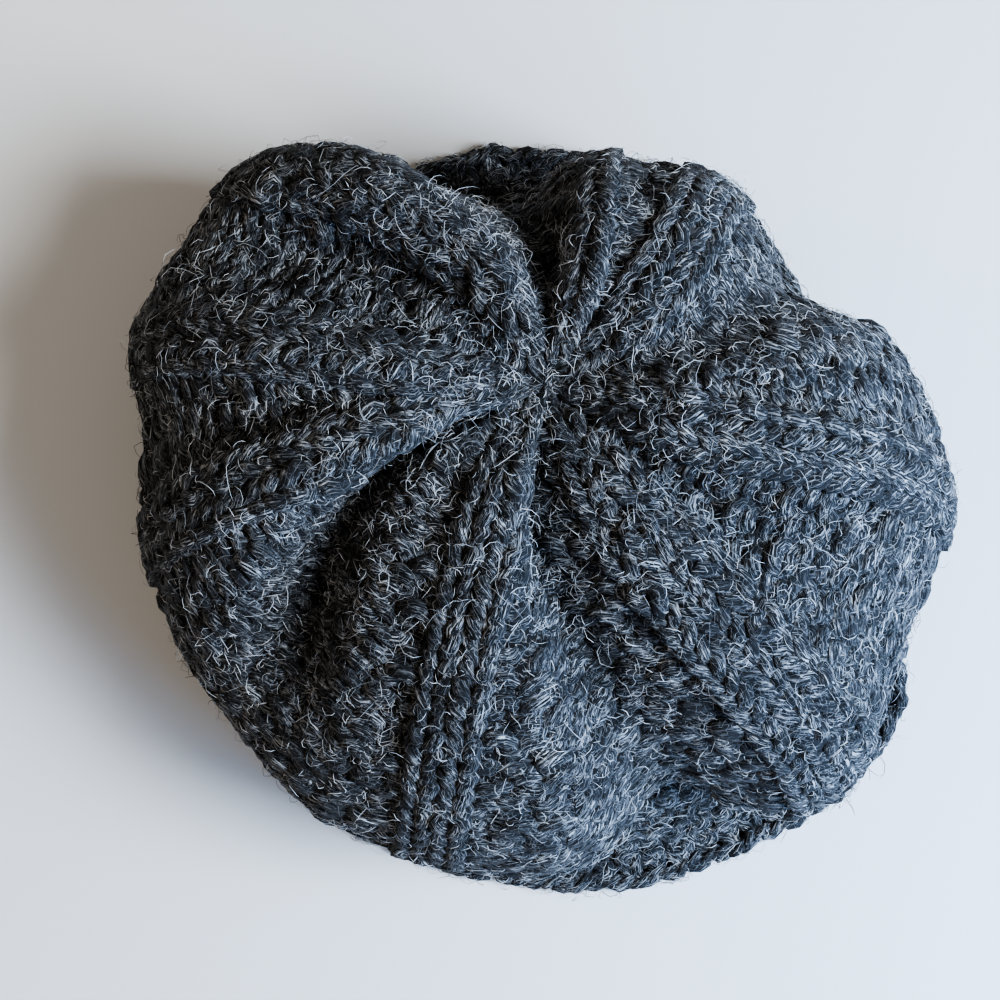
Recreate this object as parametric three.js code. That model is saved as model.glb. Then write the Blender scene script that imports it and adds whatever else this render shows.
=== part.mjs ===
// A hand-knitted wool cloche hat, lying crown up on its own brim: a soft ribbed crown, drawn together
// off centre and slumped into deep folds, on a short flared brim band.
// Millimetres, +Z up. The origin is the middle of the hat's box, on the surface that it rests on.
// A bearing is an angle in degrees, anticlockwise from +X, around the middle of the hat.

import * as THREE from "three";
import { mergeVertices } from "three/addons/utils/BufferGeometryUtils.js";

const WALL = 5.5; // the bulky knit, through its loops
const SEAM_GAP = 0.3; // between the brim's upper edge and the crown worked onto it
const BRIM_TOP = 16;
const BELL = 1.25; // above 1, the brim flares out most near its hem
const GATHER = { x: -1, y: 27.5 }; // where the crown's last loops are drawn together
const AROUND = 108; // points round each ring
const CROWN_OUTER_RINGS = 18;
const CROWN_INNER_RINGS = 12;
const LINING_SHARE = 0.92; // the inside of a fold is this much shallower than its outside
const LINING_SPREAD = 1.2; // and this much wider, because thick knit rounds a fold off
const FOLD_GROWS_OVER = 0.25; // share of the outline over which a fold reaches its full depth
const SHOULDER = 0.7; // share of the outline where the top of the crown turns into its side
const NORMAL_STEP = 0.01; // step, in degrees and in rows, for working out a slope

// How far the crown swells out, over and between its folds, and how far it has sunk halfway out.
const OUTLINE = [
  { bearing: 5, reach: 95.5, sag: 0 },
  { bearing: 22, reach: 94, sag: 1 },
  { bearing: 50, reach: 87, sag: 3 },
  { bearing: 68, reach: 89.5, sag: 1 },
  { bearing: 88, reach: 87.5, sag: 3 },
  { bearing: 108, reach: 87, sag: 5 },
  { bearing: 120, reach: 100, sag: 3 },
  { bearing: 134, reach: 110.5, sag: 1 },
  { bearing: 153, reach: 108.5, sag: 4 },
  { bearing: 172, reach: 98, sag: 2 },
  { bearing: 200, reach: 92, sag: 1 },
  { bearing: 228, reach: 88, sag: 6 },
  { bearing: 262, reach: 83, sag: 2 },
  { bearing: 300, reach: 88.5, sag: 5 },
  { bearing: 327, reach: 94, sag: 3 },
  { bearing: 350, reach: 92, sag: 0 },
];

// The way the knitted columns run: where each reaches the outline, and the bearing that it leaves
// the gather at.
const COLUMNS = [
  { outline: 3, gather: -15 },
  { outline: 42, gather: 17 },
  { outline: 63, gather: 40 },
  { outline: 83, gather: 76 },
  { outline: 101, gather: 93 },
  { outline: 131, gather: 112 },
  { outline: 147, gather: 146 },
  { outline: 160, gather: 170 },
  { outline: 172, gather: 185 },
  { outline: 186, gather: 197 },
  { outline: 227, gather: 206 },
  { outline: 252, gather: 246 },
  { outline: 296, gather: 262 },
  { outline: 319, gather: 300 },
  { outline: 342, gather: 324 },
];

// The folds, one for each hollow between the ribs: the column that it follows, half its width in
// degrees, its depth on top and at the side, and the share of the outline where it starts.
const FOLDS = [
  { bearing: 42, halfWidth: 10, topDepth: 7, sideDepth: 7, start: 0.25 },
  { bearing: 73, halfWidth: 5, topDepth: 3, sideDepth: 1, start: 0.2 },
  { bearing: 100, halfWidth: 11, topDepth: 14, sideDepth: 12, start: 0.15 },
  { bearing: 144, halfWidth: 9, topDepth: 18, sideDepth: 1, start: 0.18 },
  { bearing: 172, halfWidth: 7, topDepth: 4, sideDepth: 1.5, start: 0.4 },
  { bearing: 216, halfWidth: 11, topDepth: 16, sideDepth: 2, start: 0.12 },
  { bearing: 294, halfWidth: 12, topDepth: 12, sideDepth: 21, start: 0.1 },
  { bearing: 340, halfWidth: 10, topDepth: 6, sideDepth: 4, start: 0.4 },
];

// The crown from the gather to its lower edge: share of the outline, height, and how far that row
// has been drawn in to the brim.
const PROFILE = [
  { share: 0, height: 73, tuck: 0 },
  { share: 0.07, height: 74.5, tuck: 0 },
  { share: 0.18, height: 80, tuck: 0 },
  { share: 0.32, height: 84.5, tuck: 0 },
  { share: 0.5, height: 84, tuck: 0 },
  { share: 0.68, height: 79, tuck: 0 },
  { share: 0.84, height: 68, tuck: 0 },
  { share: 0.95, height: 53, tuck: 0 },
  { share: 1, height: 37, tuck: 0 },
  { share: 1, height: 26.5, tuck: 0.15 },
  { share: 1, height: 20, tuck: 0.5 },
  { share: 1, height: BRIM_TOP + SEAM_GAP, tuck: 1 },
];

// The brim band: the radius of its upper edge, where the crown is worked on, and of its hem.
const BRIM = [
  { bearing: 0, join: 77, hem: 91 },
  { bearing: 42, join: 72, hem: 88 },
  { bearing: 72, join: 74, hem: 90 },
  { bearing: 88, join: 74, hem: 96.5 },
  { bearing: 103, join: 73, hem: 98.5 },
  { bearing: 130, join: 79, hem: 97 },
  { bearing: 155, join: 81, hem: 94 },
  { bearing: 180, join: 79, hem: 91 },
  { bearing: 225, join: 75, hem: 89 },
  { bearing: 262, join: 73, hem: 88 },
  { bearing: 289, join: 69, hem: 91.5 },
  { bearing: 303, join: 71, hem: 93 },
  { bearing: 318, join: 76, hem: 98 },
  { bearing: 332, join: 79, hem: 100 },
  { bearing: 345, join: 79, hem: 94 },
];

// The band's section, round from its upper outer corner: place through the wall, and height.
const BAND_SECTION = [
  { across: 0.5, height: BRIM_TOP },
  { across: 0.5, height: 11 },
  { across: 0.5, height: 6 },
  { across: 0.48, height: 2.2 },
  { across: 0.3, height: 0 },
  { across: -0.3, height: 0 },
  { across: -0.48, height: 2.2 },
  { across: -0.5, height: 6 },
  { across: -0.5, height: 11 },
  { across: -0.5, height: BRIM_TOP },
];

const CHARCOAL_WOOL = { color: 0x34363b, roughness: 0.95, metalness: 0 };

/** Eases from 0 at `low` to 1 at `high`. */
function eased(low, high, value) {
  return THREE.MathUtils.smoothstep(value, low, high);
}

/** A cubic from `a` to `b`, with slopes `slopeA` and `slopeB` over one step, at `t` from 0 to 1. */
function cubic(a, b, slopeA, slopeB, t) {
  const t2 = t * t;
  const t3 = t2 * t;
  return a * (2 * t3 - 3 * t2 + 1) + slopeA * (t3 - 2 * t2 + t) + b * (3 * t2 - 2 * t3) + slopeB * (t3 - t2);
}

/** The slope at a row from the slopes on its two sides: none at a peak, so that nothing overshoots. */
function steadySlope(before, after, stepBefore, stepAfter) {
  if (before * after <= 0) {
    return 0;
  }
  const weightBefore = 2 * stepAfter + stepBefore;
  const weightAfter = stepAfter + 2 * stepBefore;
  return (weightBefore + weightAfter) / (weightBefore / before + weightAfter / after);
}

/** Reads `column` of a table whose rows go once round the hat, at a bearing. `key` names the column
 * of bearings, and `turn` is how much the value grows in one turn. */
function round(rows, key, column, bearing, turn = 0) {
  const full = 360;
  const row = (i) => {
    const turns = Math.floor(i / rows.length);
    const found = rows[i - turns * rows.length];
    return { at: found[key] + turns * full, value: found[column] + turns * turn };
  };
  const slope = (i) => (row(i + 1).value - row(i).value) / (row(i + 1).at - row(i).at);
  const step = (i) => row(i + 1).at - row(i).at;
  const turns = Math.floor((bearing - rows[0][key]) / full);
  const place = bearing - turns * full;
  let i = 0;
  while (row(i + 1).at <= place) {
    i += 1;
  }
  const slopeHere = steadySlope(slope(i - 1), slope(i), step(i - 1), step(i)) * step(i);
  const slopeNext = steadySlope(slope(i), slope(i + 1), step(i), step(i + 1)) * step(i);
  const t = (place - row(i).at) / step(i);
  return cubic(row(i).value, row(i + 1).value, slopeHere, slopeNext, t) + turns * turn;
}

/** Reads `column` of the crown's profile at a place counted in rows. */
function down(column, place) {
  const last = PROFILE.length - 1;
  const value = (i) => PROFILE[THREE.MathUtils.clamp(i, 0, last)][column];
  const i = Math.min(Math.floor(place), last - 1);
  const slopeHere = (value(i + 1) - value(i - 1)) / 2;
  const slopeNext = (value(i + 2) - value(i)) / 2;
  return cubic(value(i), value(i + 1), slopeHere, slopeNext, place - i);
}

/** The crown's swell with no folds in it, at a column and a place down the profile. */
function swell(bearing, place) {
  const share = down("share", place);
  const tuck = down("tuck", place);
  const leaves = round(COLUMNS, "outline", "gather", bearing, 360);
  const turned = leaves + (bearing - leaves) * eased(0, 1, share);
  const reach = round(OUTLINE, "bearing", "reach", turned) * share;
  const radius = THREE.MathUtils.lerp(reach, round(BRIM, "bearing", "join", bearing), tuck);
  const angle = THREE.MathUtils.degToRad(turned);
  const lean = 1 - share * share;
  const sunk = round(OUTLINE, "bearing", "sag", turned) * Math.sin(Math.PI * share) * (1 - tuck);
  return new THREE.Vector3(
    GATHER.x * lean + radius * Math.cos(angle),
    GATHER.y * lean + radius * Math.sin(angle),
    down("height", place) - sunk,
  );
}

/** Outwards at a point of the swell, and level where it turns under, so that its edge is flat. */
function outwards(bearing, place) {
  const last = PROFILE.length - 1;
  const along = swell(bearing + NORMAL_STEP, place).sub(swell(bearing - NORMAL_STEP, place));
  const below = swell(bearing, Math.min(place + NORMAL_STEP, last));
  const above = swell(bearing, Math.max(place - NORMAL_STEP, 0));
  const normal = below.sub(above).cross(along);
  if (down("share", place) < 1e-6) {
    return new THREE.Vector3(0, 0, 1);
  }
  normal.z = Math.max(normal.z, 0);
  return normal.normalize();
}

/** How deep the folds are at a column and a place down the profile. */
function foldDepth(bearing, place, spread) {
  const share = down("share", place);
  const untucked = 1 - down("tuck", place);
  let depth = 0;
  for (const fold of FOLDS) {
    const aside = THREE.MathUtils.euclideanModulo(bearing - fold.bearing + 180, 360) - 180;
    const across = aside / (fold.halfWidth * spread);
    const full = THREE.MathUtils.lerp(fold.topDepth, fold.sideDepth, eased(SHOULDER, 1, share));
    const grown = eased(fold.start * 0.3, fold.start + FOLD_GROWS_OVER, share);
    depth += full * grown * untucked * Math.exp(-across * across);
  }
  return depth;
}

/** A point of the crown's outer face, or of its inner one. */
function crownPoint(bearing, place, inner) {
  const depth = inner
    ? WALL + foldDepth(bearing, place, LINING_SPREAD) * LINING_SHARE
    : foldDepth(bearing, place, 1);
  return swell(bearing, place).addScaledVector(outwards(bearing, place), -depth);
}

/** The bearings of the points round a ring. */
function bearings() {
  return Array.from({ length: AROUND }, (_, i) => (i * 360) / AROUND);
}

/** A closed body from rings of points, each ring joined to the next. Its ends are closed by one
 * point each, or, with no end points, the last ring is joined to the first. */
function ringedBody(rings, ends) {
  const points = [...rings.flat(), ...ends];
  const faces = [];
  const count = ends.length ? rings.length - 1 : rings.length;
  for (let ring = 0; ring < count; ring += 1) {
    const here = ring * AROUND;
    const next = ((ring + 1) % rings.length) * AROUND;
    for (let i = 0; i < AROUND; i += 1) {
      const j = (i + 1) % AROUND;
      faces.push(here + i, next + i, next + j, here + i, next + j, here + j);
    }
  }
  if (ends.length) {
    const top = rings.length * AROUND;
    const lastRing = (rings.length - 1) * AROUND;
    for (let i = 0; i < AROUND; i += 1) {
      const j = (i + 1) % AROUND;
      faces.push(top, i, j, top + 1, lastRing + j, lastRing + i);
    }
  }
  const geometry = new THREE.BufferGeometry();
  geometry.setAttribute("position", new THREE.Float32BufferAttribute(points.flatMap((p) => p.toArray()), 3));
  geometry.setIndex(faces);
  const merged = mergeVertices(geometry, 1e-3);
  merged.computeVertexNormals();
  return merged;
}

/** The crown: its outer face down from the gather, and its inner face back up. */
function crownGeometry() {
  const last = PROFILE.length - 1;
  const ring = (place, inner) => bearings().map((bearing) => crownPoint(bearing, place, inner));
  const places = (count) => Array.from({ length: count }, (_, i) => ((i + 1) * last) / count);
  const outer = places(CROWN_OUTER_RINGS).map((place) => ring(place, false));
  const inner = places(CROWN_INNER_RINGS).map((place) => ring(place, true));
  return ringedBody([...outer, ...inner.reverse()], [crownPoint(0, 0, false), crownPoint(0, 0, true)]);
}

/** The brim band: its section carried round the hat, flaring from the join down to the hem. */
function brimGeometry() {
  const rings = BAND_SECTION.map(({ across, height }) =>
    bearings().map((bearing) => {
      const join = round(BRIM, "bearing", "join", bearing);
      const hem = round(BRIM, "bearing", "hem", bearing);
      const flare = (1 - height / BRIM_TOP) ** BELL;
      const radius = THREE.MathUtils.lerp(join, hem, flare) + (across - 0.5) * WALL;
      const angle = THREE.MathUtils.degToRad(bearing);
      return new THREE.Vector3(radius * Math.cos(angle), radius * Math.sin(angle), height);
    }),
  );
  return ringedBody(rings, []);
}

/** A named piece of the hat in charcoal wool. */
function woolPiece(name, geometry) {
  const piece = new THREE.Mesh(geometry, new THREE.MeshStandardMaterial(CHARCOAL_WOOL));
  piece.name = name;
  return piece;
}

const hat = new THREE.Group();
hat.add(woolPiece("ribbed_crown", crownGeometry()));
hat.add(woolPiece("brim_band", brimGeometry()));

const middle = new THREE.Box3().setFromObject(hat).getCenter(new THREE.Vector3());
hat.position.set(-middle.x, -middle.y, 0);

export default hat;
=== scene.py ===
"""The looks of a hand-knitted cloche hat in bulky charcoal wool.

The hat lies crown up on its hem. Every round of knitting is one yarn, bent stitch by stitch into
the loops of the ribs and gutters, over a dark felted core, with the loose fibres of the wool on it.
Metres, +Z up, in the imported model's own frame. A bearing is an angle in degrees, anticlockwise from
+X, around the middle of the hat.
"""

import logging
import math
from dataclasses import dataclass, field
from enum import Enum

import bpy
import numpy as np
from mathutils import Matrix, Vector


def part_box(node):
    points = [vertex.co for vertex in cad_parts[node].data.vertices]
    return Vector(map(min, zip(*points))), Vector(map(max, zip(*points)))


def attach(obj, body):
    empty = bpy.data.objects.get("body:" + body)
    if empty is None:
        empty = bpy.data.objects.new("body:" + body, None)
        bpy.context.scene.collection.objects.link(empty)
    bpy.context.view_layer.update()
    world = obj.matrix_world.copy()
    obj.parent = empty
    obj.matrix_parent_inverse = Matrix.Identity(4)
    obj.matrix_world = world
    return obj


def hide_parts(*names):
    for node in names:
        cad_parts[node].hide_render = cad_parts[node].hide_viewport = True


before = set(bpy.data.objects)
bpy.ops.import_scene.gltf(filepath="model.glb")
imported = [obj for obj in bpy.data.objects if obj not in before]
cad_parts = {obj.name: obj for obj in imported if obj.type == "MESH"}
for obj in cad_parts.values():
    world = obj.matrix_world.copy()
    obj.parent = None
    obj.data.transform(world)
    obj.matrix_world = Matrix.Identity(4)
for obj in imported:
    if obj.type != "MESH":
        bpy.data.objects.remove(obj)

LOG = logging.getLogger("cloche_hat")
MM = 0.001
TURN = 360.0
YARN_UV = "yarn"
FIBRE_UV = "fibre"
UV_UNIT = 10 * MM  # one unit of the yarn's UV map, along it and round it
NOTHING = 1e-6  # a share of the outline too small to tell from the gather itself
TINY = 1e-12  # the least length that a direction is divided by
NUDGE = 1e-9  # gives two directions that lie the same way something across them
NORMAL_PASSES = 24  # how often a cloth's normals are evened out
CLEAR = 0.1 * MM  # the least height of yarn and fibres over the floor
PLAN_STEP = 0.5  # degrees between the points that the plan's middle is found from
PLAN_ROWS = 111


class Stitch(Enum):
    """The two faces that a stitch can show, and the way that its legs stand."""

    KNIT = 1
    PURL = -1


@dataclass(frozen=True)
class Fold:
    """A fold pressed into the crown.

    Attributes:
        bearing: the bearing that it runs along.
        half_width: in degrees.
        top_depth: its depth on top, in millimetres.
        side_depth: its depth at the side, in millimetres.
        start: the share of the outline where it starts.
    """

    bearing: float
    half_width: float
    top_depth: float
    side_depth: float
    start: float


# Bearing, how far the crown swells out (mm), and how far it has sunk halfway out (mm).
REACH, SUNK = 1, 2
OUTLINE = (
    (5, 95.5, 0), (22, 94, 1), (50, 87, 3), (68, 89.5, 1), (88, 87.5, 3), (108, 87, 5),
    (120, 100, 3), (134, 110.5, 1), (153, 108.5, 4), (172, 98, 2), (200, 92, 1), (228, 88, 6),
    (262, 83, 2), (300, 88.5, 5), (327, 94, 3), (350, 92, 0),
)  # fmt: skip
# Where each knitted column reaches the outline, and the bearing that it leaves the gather at.
LEAVES_AT = 1
COLUMNS = (
    (3, -15), (42, 17), (63, 40), (83, 76), (101, 93), (131, 112), (147, 146), (160, 170),
    (172, 185), (186, 197), (227, 206), (252, 246), (296, 262), (319, 300), (342, 324),
)  # fmt: skip
FOLDS = (
    Fold(42, 10, 7, 7, 0.25), Fold(73, 5, 3, 1, 0.2),
    Fold(100, 11, 14, 12, 0.15), Fold(144, 9, 18, 1, 0.18),
    Fold(172, 7, 4, 1.5, 0.4), Fold(216, 11, 16, 2, 0.12),
    Fold(294, 12, 12, 21, 0.1), Fold(340, 10, 6, 4, 0.4),
)  # fmt: skip
# The crown from the gather to its lower edge: share of the outline, height (mm), and how far
# it has been drawn in to the brim.
SHARE, HEIGHT, TUCK = 0, 1, 2
PROFILE = (
    (0, 73, 0), (0.07, 74.5, 0), (0.18, 80, 0), (0.32, 84.5, 0), (0.5, 84, 0), (0.68, 79, 0),
    (0.84, 68, 0), (0.95, 53, 0), (1, 37, 0), (1, 26.5, 0.15), (1, 20, 0.5), (1, 16.3, 1),
)  # fmt: skip
# Bearing, and the brim's radius at its upper edge and at its hem (mm).
JOIN, HEM = 1, 2
BRIM = (
    (0, 77, 91), (42, 72, 88), (72, 74, 90), (88, 74, 96.5), (103, 73, 98.5), (130, 79, 97),
    (155, 81, 94), (180, 79, 91), (225, 75, 89), (262, 73, 88), (289, 69, 91.5), (303, 71, 93),
    (318, 76, 98), (332, 79, 100), (345, 79, 94),
)  # fmt: skip
# The bearing that each rib runs along, and how many knit stitches wide it is at its widest.
RIBS = ((3, 2), (63, 2), (83, 1), (131, 3), (160, 2), (186, 2), (252, 2), (319, 3))
# How many curls and how many strays each part of the hat has.
FIBRES = {
    "crown_side": (8200, 1000),
    "crown_shoulder": (9200, 1200),
    "crown_top": (7600, 900),
    "brim": (4700, 500),
}


def eased(low: float, high: float, value: np.ndarray) -> np.ndarray:
    """Eases from 0 at `low` to 1 at `high`."""
    t = np.clip((value - low) / (high - low), 0, 1)
    return t * t * (3 - 2 * t)


def unit(vectors: np.ndarray) -> np.ndarray:
    """The same vectors, each of length 1."""
    return vectors / np.maximum(np.linalg.norm(vectors, axis=-1, keepdims=True), TINY)


def cubic(
    a: np.ndarray, b: np.ndarray, slope_a: np.ndarray, slope_b: np.ndarray, t: np.ndarray
) -> np.ndarray:
    """Eases along a cubic.

    Args:
        a: the value at the start.
        b: the value at the end.
        slope_a: the slope at the start, over the whole step.
        slope_b: the slope at the end.
        t: how far along, from 0 to 1.

    Returns:
        The values there.
    """
    t2, t3 = t * t, t * t * t
    return (
        a * (2 * t3 - 3 * t2 + 1)
        + slope_a * (t3 - 2 * t2 + t)
        + b * (3 * t2 - 2 * t3)
        + slope_b * (t3 - t2)
    )


def round_table(rows: tuple, column: int, bearing: np.ndarray, turn: float = 0.0) -> np.ndarray:
    """Reads a table whose rows go once round the hat, with nothing overshooting its rows.

    Args:
        rows: the table, with the bearing first in each row.
        column: which column to read.
        bearing: where to read it, in degrees.
        turn: how much the value grows in one turn.

    Returns:
        The column's value at each bearing.
    """
    table = np.array(rows, float)
    at = np.concatenate([table[:, 0] + TURN * k for k in (-1, 0, 1)])
    value = np.concatenate([table[:, column] + turn * k for k in (-1, 0, 1)])
    step = np.diff(at)
    slope = np.diff(value) / step
    steady = np.zeros(len(at))
    before, after = slope[:-1], slope[1:]
    same = before * after > 0
    weight_before = 2 * step[1:] + step[:-1]
    weight_after = step[1:] + 2 * step[:-1]
    inner = np.zeros(len(before))
    inner[same] = (weight_before + weight_after)[same] / (
        weight_before[same] / before[same] + weight_after[same] / after[same]
    )
    steady[1:-1] = inner
    turns = np.floor((bearing - table[0, 0]) / TURN)
    place = bearing - turns * TURN
    i = np.clip(np.searchsorted(at, place, side="right") - 1, 0, len(step) - 1)
    t = (place - at[i]) / step[i]
    read = cubic(value[i], value[i + 1], steady[i] * step[i], steady[i + 1] * step[i], t)
    return read + turns * turn


@dataclass
class CrownForm:
    """The crown's outer face, worked out as its solid is: a lobed swell with folds pressed in."""

    gather: tuple = (-1.0, 27.5)
    fold_foot: float = 0.3  # where a fold first shows, as a share of its start
    fold_grows_over: float = 0.25
    shoulder: float = 0.7
    step: float = 0.01

    def down(self, column: int, place: np.ndarray) -> np.ndarray:
        """Reads the profile.

        Args:
            column: which of its columns.
            place: where, counted in its rows from the gather.

        Returns:
            The column's value at each place.
        """
        rows = np.array(PROFILE, float)[:, column]
        last = len(rows) - 1
        i = np.minimum(np.floor(place).astype(int), last - 1)
        before, here = rows[np.maximum(i - 1, 0)], rows[i]
        after, beyond = rows[i + 1], rows[np.minimum(i + 2, last)]
        return cubic(here, after, (after - before) / 2, (beyond - here) / 2, place - i)

    def swell(self, bearing: np.ndarray, place: np.ndarray) -> np.ndarray:
        """Works out the swell with no folds in it.

        Args:
            bearing: the column's bearing at the outline.
            place: counted in the profile's rows.

        Returns:
            Its points, in millimetres.
        """
        share, tuck = self.down(SHARE, place), self.down(TUCK, place)
        leaves = round_table(COLUMNS, LEAVES_AT, bearing, TURN)
        turned = leaves + (bearing - leaves) * eased(0, 1, share)
        reach = round_table(OUTLINE, REACH, turned) * share
        radius = reach + (round_table(BRIM, JOIN, bearing) - reach) * tuck
        lean = 1 - share * share
        sunk = round_table(OUTLINE, SUNK, turned) * np.sin(np.pi * share) * (1 - tuck)
        angle = np.radians(turned)
        x = self.gather[0] * lean + radius * np.cos(angle)
        y = self.gather[1] * lean + radius * np.sin(angle)
        return np.stack([x, y, self.down(HEIGHT, place) - sunk], axis=-1)

    def outwards(self, bearing: np.ndarray, place: np.ndarray) -> np.ndarray:
        """Finds outwards on the swell, level where it turns under.

        Args:
            bearing: the column's bearing at the outline.
            place: counted in the profile's rows.

        Returns:
            The directions.
        """
        last = len(PROFILE) - 1
        along = self.swell(bearing + self.step, place) - self.swell(bearing - self.step, place)
        below = self.swell(bearing, np.minimum(place + self.step, last))
        above = self.swell(bearing, np.maximum(place - self.step, 0))
        normal = np.cross(below - above, along)
        normal[..., 2] = np.maximum(normal[..., 2], 0)
        normal = unit(normal)
        normal[self.down(SHARE, place) < NOTHING] = (0, 0, 1)
        return normal

    def fold_depth(self, bearing: np.ndarray, place: np.ndarray) -> np.ndarray:
        """Adds the folds up.

        Args:
            bearing: the column's bearing at the outline.
            place: counted in the profile's rows.

        Returns:
            How deep they are, in millimetres.
        """
        share, tuck = self.down(SHARE, place), self.down(TUCK, place)
        depth = np.zeros(np.broadcast(bearing, place).shape)
        for fold in FOLDS:
            aside = (bearing - fold.bearing + TURN / 2) % TURN - TURN / 2
            across = aside / fold.half_width
            deeper = fold.side_depth - fold.top_depth
            full = fold.top_depth + deeper * eased(self.shoulder, 1, share)
            grown = eased(fold.start * self.fold_foot, fold.start + self.fold_grows_over, share)
            depth += full * grown * (1 - tuck) * np.exp(-across * across)
        return depth

    def face(self, bearing: np.ndarray, place: np.ndarray) -> np.ndarray:
        """Points of the outer face, in millimetres."""
        depth = self.fold_depth(bearing, place)[..., None]
        return self.swell(bearing, place) - self.outwards(bearing, place) * depth


@dataclass
class BrimForm:
    """The brim band's outer face, flaring from its upper edge down to its hem."""

    top: float = 16.0
    bell: float = 1.25

    def face(self, bearing: np.ndarray, height: np.ndarray) -> np.ndarray:
        """Works out the outer face.

        Args:
            bearing: in degrees.
            height: in millimetres.

        Returns:
            Its points, in millimetres.
        """
        join, hem = round_table(BRIM, JOIN, bearing), round_table(BRIM, HEM, bearing)
        radius = join + (hem - join) * (1 - height / self.top) ** self.bell
        angle = np.radians(bearing)
        return np.stack([radius * np.cos(angle), radius * np.sin(angle), height], axis=-1)


@dataclass
class Cloth:
    """A knitted face laid out by bearing and by share of the way up, evenly along the wool.

    Attributes:
        points: places in metres, a row of them for each bearing, from the lower edge to the top.
        normals: outwards at each point.
        length: how long the cloth is from its lower edge to its top at each bearing, in metres.
    """

    points: np.ndarray
    normals: np.ndarray
    length: np.ndarray

    @classmethod
    def laid(cls, face: np.ndarray, samples: int) -> "Cloth":
        """Lays a face out evenly.

        Args:
            face: the face's points, a row for each bearing, from the lower edge to the top.
            samples: how many points each row gets.

        Returns:
            The cloth.
        """
        runs = np.linalg.norm(np.diff(face, axis=1), axis=-1)
        along = np.concatenate([np.zeros((len(face), 1)), np.cumsum(runs, axis=1)], axis=1)
        length = along[:, -1]
        share = np.linspace(0, 1, samples)
        laid = np.empty((len(face), samples, 3))
        for i, row in enumerate(face):
            for axis in range(3):
                laid[i, :, axis] = np.interp(share * length[i], along[i], row[:, axis])
        around = np.roll(laid, -1, axis=0) - np.roll(laid, 1, axis=0)
        upwards = np.gradient(laid, axis=1)
        normals = unit(np.cross(around, upwards))
        for _ in range(NORMAL_PASSES):
            normals = (np.roll(normals, 1, axis=0) + 2 * normals + np.roll(normals, -1, axis=0)) / 4
            beyond = np.concatenate([normals[:, :1], normals, normals[:, -1:]], axis=1)
            normals = (beyond[:, :-2] + 2 * normals + beyond[:, 2:]) / 4
        return cls(laid, unit(normals), length)

    def at(self, bearing: np.ndarray, share: np.ndarray) -> tuple[np.ndarray, np.ndarray]:
        """Reads the cloth.

        Args:
            bearing: in degrees.
            share: of the way up, from 0 to 1.

        Returns:
            The points, and outwards at each.
        """
        across = (bearing % TURN) / TURN * len(self.points)
        i = np.floor(across).astype(int) % len(self.points)
        j = (i + 1) % len(self.points)
        s = (across - np.floor(across))[..., None]
        rise = np.clip(share, 0, 1) * (self.points.shape[1] - 1)
        k = np.minimum(np.floor(rise).astype(int), self.points.shape[1] - 2)
        t = (rise - k)[..., None]

        def read(grid: np.ndarray) -> np.ndarray:
            """Blends the four values around each place.

            Args:
                grid: the cloth's values.

            Returns:
                The blended values.
            """
            low = grid[i, k] * (1 - s) + grid[j, k] * s
            high = grid[i, k + 1] * (1 - s) + grid[j, k + 1] * s
            return low * (1 - t) + high * t

        return read(self.points), unit(read(self.normals))


def laid_cloth(
    form: CrownForm | BrimForm, bearings: int, rows: np.ndarray, samples: int, centre: tuple
) -> Cloth:
    """Lays out the outer face of the crown or the brim.

    Args:
        form: the crown's or the brim's form.
        bearings: how many bearings it is laid out at.
        rows: where the form is read, from the lower edge to the top.
        samples: how many points the cloth has at each bearing.
        centre: the point of the form's plan that moves to the origin, in millimetres.

    Returns:
        The cloth.
    """
    bearing = np.arange(bearings) * TURN / bearings
    face = form.face(*np.meshgrid(bearing, rows, indexing="ij"))
    face[..., 0] -= centre[0]
    face[..., 1] -= centre[1]
    return Cloth.laid(face * MM, samples)


@dataclass
class Tube:
    """A run of yarn: where it goes, which way is out of the cloth, how thick and how hairy it is."""

    path: np.ndarray
    outwards: np.ndarray
    radius: np.ndarray
    hair: np.ndarray


@dataclass
class Swept:
    """Yarn swept round a closed path, a row of points for each place along it.

    Attributes:
        points: the points of its surface.
        out: outwards from the yarn at each of them.
        along: along the yarn at each place.
        cloth: outwards from the cloth at each place.
        hair: how hairy it is at each place.
        travelled: the length up to each place, and the whole length.
        girth: the length round the yarn.
    """

    points: np.ndarray
    out: np.ndarray
    along: np.ndarray
    cloth: np.ndarray
    hair: np.ndarray
    travelled: np.ndarray
    girth: float


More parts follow.
